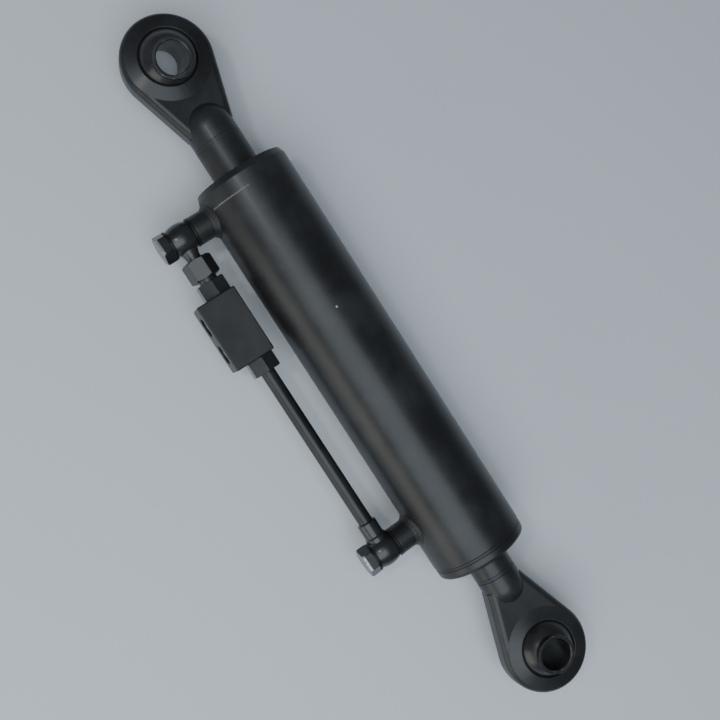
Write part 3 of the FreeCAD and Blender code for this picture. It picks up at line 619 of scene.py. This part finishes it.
# Moulded seal material: matt, faintly mottled, with a fine grain.
def makeRubber(name, tint, roughness, fleck):
    material, tree, shader = startMaterial(name)
    place = objectPlace(tree)
    mottle = noise(tree, place, 260.0, 5.0, 0.7)
    mottle = ramp(tree, mottle, rubberLook["mottleFrom"], rubberLook["mottleFull"])
    light = tuple(part * rubberLook["mottleLight"] + rubberLook["mottleLift"] for part in tint)
    base = blend(tree, calc(tree, "MULTIPLY", mottle, fleck), colour(*tint), colour(*light))
    normal = bump(tree, noise(tree, place, 2200.0, 2.0), rubberLook["grainDepth"])
    dull = calc(tree, "ADD", roughness, calc(tree, "MULTIPLY", mottle, rubberLook["mottleRoughness"]))
    feed(tree, shader, Base_Color=base, Roughness=dull, Normal=normal)
    return material


sealRubber = makeRubber("sealRubber", (0.016, 0.016, 0.017), 0.50, 0.6)
guideStrip = makeRubber("guideStrip", (0.12, 0.15, 0.09), 0.45, 0.8)
print("metals and rubber ready")

finishes = {
    barrelPaint: ["barrel_tube"],
    capPaint: ["base_cap", "gland", "port_boss_rod_side", "port_boss_base_side"],
    forgedPaint: ["base_eye_housing", "rod_eye_housing"],
    weldPaint: ["base_cap_weld", "base_eye_weld", "rod_eye_weld", "port_weld_rod_side",
                "port_weld_base_side"],
    fittingPaint: ["banjo_rod_side", "banjo_base_side", "union_nut", "valve_adapter", "pipe_stud"],
    blockPaint: ["valve_block"],
    pipePaint: ["transfer_pipe"],
    chromeRod: ["piston_rod"],
    ballBlack: ["rod_ball", "base_ball"],
    boltPaint: ["banjo_bolt_rod_side", "banjo_bolt_base_side"],
    washerSteel: ["sealing_washers"],
    machinedSteel: ["piston", "piston_nut", "cutting_ring", "pilot_piston", "check_seat_rod_side",
                    "check_seat_base_side", "check_poppet_rod_side", "check_poppet_base_side"],
    springSteel: ["check_spring_rod_side", "check_spring_base_side"],
    bushBronze: ["rod_guide_bush"],
    sealRubber: ["gland_oring", "piston_oring", "piston_seal", "rod_seal", "rod_wiper", "stud_orings"],
    guideStrip: ["piston_guide_rings"],
}
for material, names in finishes.items():
    for name in names:
        mesh = nodes[name].data
        mesh.materials.clear()
        mesh.materials.append(material)
print("finishes on", sum(len(names) for names in finishes.values()), "nodes")


# New pieces

# Faces of a grid of points that is stored row after row, closed onto itself where it wraps.
def gridFaces(rows, columns, wrapRows, wrapColumns):
    row = np.arange(rows if wrapRows else rows - 1)
    column = np.arange(columns if wrapColumns else columns - 1)
    row, column = np.meshgrid(row, column, indexing="ij")
    start = row * columns
    below = (row + 1) % rows * columns
    beside = (column + 1) % columns
    faces = np.stack([start + column, start + beside, below + beside, below + column], -1)
    return faces.reshape(-1, 4)


def makePiece(name, points, faces, material, body):
    mesh = bpy.data.meshes.new(name)
    mesh.from_pydata(points.reshape(-1, 3), [], faces)
    mesh.validate()
    mesh.polygons.foreach_set("use_smooth", np.full(len(mesh.polygons), True))
    mesh.materials.append(material)
    mesh.update()
    piece = bpy.data.objects.new(name, mesh)
    bpy.context.scene.collection.objects.link(piece)
    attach(piece, body)
    return piece


weldCollar = {
    "around": 288,             # points round the boss
    "across": 15,              # points from the boss to the barrel
    "ripples": 30,             # laid drops round the boss
    "rippleHeight": 0.16,      # mm
    "rippleLag": 0.9,          # how far a drop trails on its way across, in ripples
    "rippleWander": 0.4,       # uneven spacing of the drops, against the wander of the toes
    "hollow": 0.55,            # how far the fillet sinks between its two toes, mm
    "slant": 0.7,              # part of a swell or sink that goes outward, and part that goes up
    "bow": 0.9,                # power of the share in the height
    "inset": 0.3,              # mm from the CAD weld's outline to the middle of a toe's wander
    "uneven": 0.15,            # wander of the toes, mm
    "waves": (2, 3, 5, 8),     # waves round the boss that the wander is made of
    "strength": (0.2, 1),      # each wave's strength is drawn from here, and divided by its number
    "phase": (0, 6.3),         # and where it starts from here, radians
    "upperShift": 40,          # points by which the upper toe wanders behind the lower one
    "hiddenIn": 0.4,           # mm that the closed back lies inside the boss
    "hiddenDown": 1.2,         # mm that its lower edge lies under the barrel's surface
    "hiddenTop": 0.2,          # mm that its upper edge lies under the upper toe
}


# A hollow fillet weld round a port boss, closed behind. At the angle a round the boss and the share s
# of the way from the boss to the barrel, the radius runs evenly from the boss to the lower toe, and the
# height from the upper toe to the barrel's surface, sqrt(R^2 - (r sin a)^2). Both then move by
# slant * (ripple height * |sin(n a / 2 + lag pi s + wander)| - hollow) * sin(pi s).
def makeWeldCollar(name, node, seed):
    random = np.random.default_rng(seed)
    low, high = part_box(node)
    centre = (low + high) / 2
    bossLow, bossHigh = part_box(node.replace("weld", "boss"))
    bossRadius = (bossHigh.x - bossLow.x) / 2
    toeRadius = (high.x - low.x) / 2
    inset = weldCollar["inset"] * mm
    around = np.linspace(0, 2 * np.pi, weldCollar["around"], endpoint=False)[:, None]
    share = np.linspace(0, 1, weldCollar["across"])[None, :]
    drift = 0
    for waves in weldCollar["waves"]:
        strength = random.uniform(*weldCollar["strength"]) / waves
        drift = drift + strength * np.sin(waves * around + random.uniform(*weldCollar["phase"]))
    wander = weldCollar["uneven"] * mm * drift
    toe = toeRadius - inset + wander
    radius = bossRadius + (toe - bossRadius) * share
    ground = np.sqrt(barrelRadius ** 2 - (radius * np.sin(around)) ** 2)
    top = ground[:, :1] + (high.y - barrelRadius - inset) + np.roll(wander, weldCollar["upperShift"])
    height = top + (ground - top) * share ** weldCollar["bow"]
    phase = weldCollar["ripples"] / 2 * around + weldCollar["rippleLag"] * share * np.pi
    ripple = np.abs(np.sin(phase + weldCollar["rippleWander"] * drift))
    swell = mm * (weldCollar["rippleHeight"] * ripple - weldCollar["hollow"]) * np.sin(np.pi * share)
    radius = radius + weldCollar["slant"] * swell
    height = height + weldCollar["slant"] * swell
    hidden = np.full_like(around, bossRadius - weldCollar["hiddenIn"] * mm)
    hiddenLow = ground[:, -1:] - weldCollar["hiddenDown"] * mm
    hiddenTop = top - weldCollar["hiddenTop"] * mm
    radius = np.concatenate([radius, hidden, hidden], 1)
    height = np.concatenate([height, hiddenLow, hiddenTop], 1)
    points = np.stack([centre.x + radius * np.cos(around), height, radius * np.sin(around)], -1)
    faces = gridFaces(points.shape[0], points.shape[1], True, True).tolist()
    piece = makePiece(name, points, faces, weldPaint, "barrel")
    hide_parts(node)
    return piece


makeWeldCollar("weld_collar_rod_side", "port_weld_rod_side", 3)
makeWeldCollar("weld_collar_base_side", "port_weld_base_side", 8)
print("weld collars laid")

hoseThread = {
    "pitch": 1.337,        # mm
    "depth": 0.75,         # mm that the ridge stands out of the port's wall
    "turns": 6.5,
    "points": 48,          # points in a turn
    "start": 1.2,          # mm from the port's mouth
    "halfFoot": 0.48,      # half the ridge's width at its foot, in pitches
    "sunk": 0.05,          # mm that the foot lies in the wall
    "fade": 1.2,           # radians over which the ridge grows at each end
    "thinnest": 0.02,      # share of the depth that it starts with
}


# Thread ridge of a hose port: a triangle carried down a helix on the port's wall, at the turn t
# y = mouth - start - pitch t / (2 pi), with its tip at the radius minus depth.
def makeHoseThread(name, mount):
    place = Vector(mount["pos_m"])
    radius = mount["dims"]["r_mm"] * mm
    pitch = hoseThread["pitch"] * mm
    pointCount = int(hoseThread["points"] * hoseThread["turns"])
    turn = np.linspace(0, 2 * np.pi * hoseThread["turns"], pointCount)[:, None]
    fade = np.clip(np.minimum(turn, turn[-1] - turn) / hoseThread["fade"], hoseThread["thinnest"], 1)
    foot = np.full_like(turn, hoseThread["sunk"])
    out = radius + mm * np.concatenate([foot, -hoseThread["depth"] * fade, foot], 1)
    aside = pitch * hoseThread["halfFoot"] * np.array([[-1, 0, 1]])
    down = place.y - hoseThread["start"] * mm - pitch * turn / (2 * np.pi) + aside
    points = np.stack([place.x + out * np.cos(turn), down, place.z + out * np.sin(turn)], -1)
    faces = gridFaces(pointCount, 3, False, True)[:, ::-1].tolist()
    last = 3 * (pointCount - 1)
    faces += [[0, 1, 2], [last + 2, last + 1, last]]
    return makePiece(name, points, faces, portSteel, "barrel")


for mount in frame["record"]["mounts"]:
    if mount["kind"] == "threaded_hole":
        makeHoseThread("thread_" + mount["name"], mount)
print("hose threads cut")


# Floor, lights and camera

floorLook = {"colour": (0.80, 0.835, 0.875), "darkest": 0.985, "roughness": 0.75, "size": 14.0}   # size in m


def makeFloor():
    material, tree, shader = startMaterial("paleFloor")
    place = objectPlace(tree)
    tone = noise(tree, place, 3.0, 2.0)
    light = colour(*floorLook["colour"])
    dark = colour(*(part * floorLook["darkest"] for part in floorLook["colour"]))
    feed(tree, shader, Base_Color=blend(tree, tone, light, dark), Roughness=floorLook["roughness"])
    half = floorLook["size"] / 2
    level = cadBounds[0][2]
    mesh = bpy.data.meshes.new("floor")
    corners = [(-half, -half, level), (half, -half, level), (half, half, level), (-half, half, level)]
    mesh.from_pydata(corners, [], [(0, 1, 2, 3)])
    mesh.materials.append(material)
    floor = bpy.data.objects.new("floor", mesh)
    bpy.context.scene.collection.objects.link(floor)


makeFloor()

# Each light is a panel that stands over a place along the link, leaning from straight up toward the
# ports by so many degrees. Its size is along the link and across it, all in m, and radiance is the
# brightness of its face.
lights = {
    "coolWindow": {
        "along": -0.35, "distance": 1.7, "lean": 23.0,
        "size": (1.5, 1.75), "radiance": 2.5, "tint": (0.82, 0.92, 1.0),
    },
    "coolFill": {
        "along": 0.75, "distance": 1.7, "lean": 20.0,
        "size": (0.9, 1.5), "radiance": 0.8, "tint": (0.84, 0.92, 1.0),
    },
    "warmWall": {
        "along": -0.10, "distance": 1.6, "lean": 80.0,
        "size": (1.3, 0.80), "radiance": 1.9, "tint": (1.0, 0.97, 0.86),
    },
    "smallLamp": {
        "along": 0.72, "distance": 1.5, "lean": 24.0,
        "size": (0.14, 0.14), "radiance": 34.0, "tint": (1.0, 0.99, 0.97),
    },
}
room = {"tint": (0.84, 0.91, 1.0), "radiance": 0.16}


def makeLights():
    for name, look in lights.items():
        light = bpy.data.lights.new(name, "AREA")
        light.shape = "RECTANGLE"
        light.size, light.size_y = look["size"]
        light.energy = look["radiance"] * math.pi * look["size"][0] * look["size"][1]
        light.color = look["tint"]
        lamp = bpy.data.objects.new(name, light)
        lean = math.radians(look["lean"])
        away = Vector((0.0, math.sin(lean), math.cos(lean)))
        side = Vector((1.0, 0.0, 0.0))
        turn = Matrix((side, away.cross(side), away)).transposed()
        place = look["distance"] * away + look["along"] * side
        lamp.matrix_world = Matrix.Translation(place) @ turn.to_4x4()
        bpy.context.scene.collection.objects.link(lamp)
    world = bpy.data.worlds.new("room")
    bpy.context.scene.world = world
    world.use_nodes = True
    back = world.node_tree.nodes["Background"]
    back.inputs["Color"].default_value = colour(*room["tint"])
    back.inputs["Strength"].default_value = room["radiance"]


makeLights()

cameraLook = {
    "position": (0.34720, 0.19463, 0.78353),   # m
    "aim": (0.28123, -0.00117, 0.0),           # m
    "up": (0.83829, -0.54138, 0.06471),
    "lens": 50.23,                             # mm
    "sensor": 36.0,                            # mm
    "nearest": 0.01,                           # m
}


def makeCamera():
    data = bpy.data.cameras.new("camera")
    data.lens = cameraLook["lens"]
    data.sensor_width = cameraLook["sensor"]
    data.clip_start = cameraLook["nearest"]
    camera = bpy.data.objects.new("camera", data)
    position = Vector(cameraLook["position"])
    back = (position - Vector(cameraLook["aim"])).normalized()
    right = Vector(cameraLook["up"]).cross(back).normalized()
    up = back.cross(right)
    turn = Matrix((right, up, back)).transposed()
    camera.matrix_world = Matrix.Translation(position) @ turn.to_4x4()
    bpy.context.scene.collection.objects.link(camera)
    bpy.context.scene.camera = camera


makeCamera()
print("floor, lights and camera set")
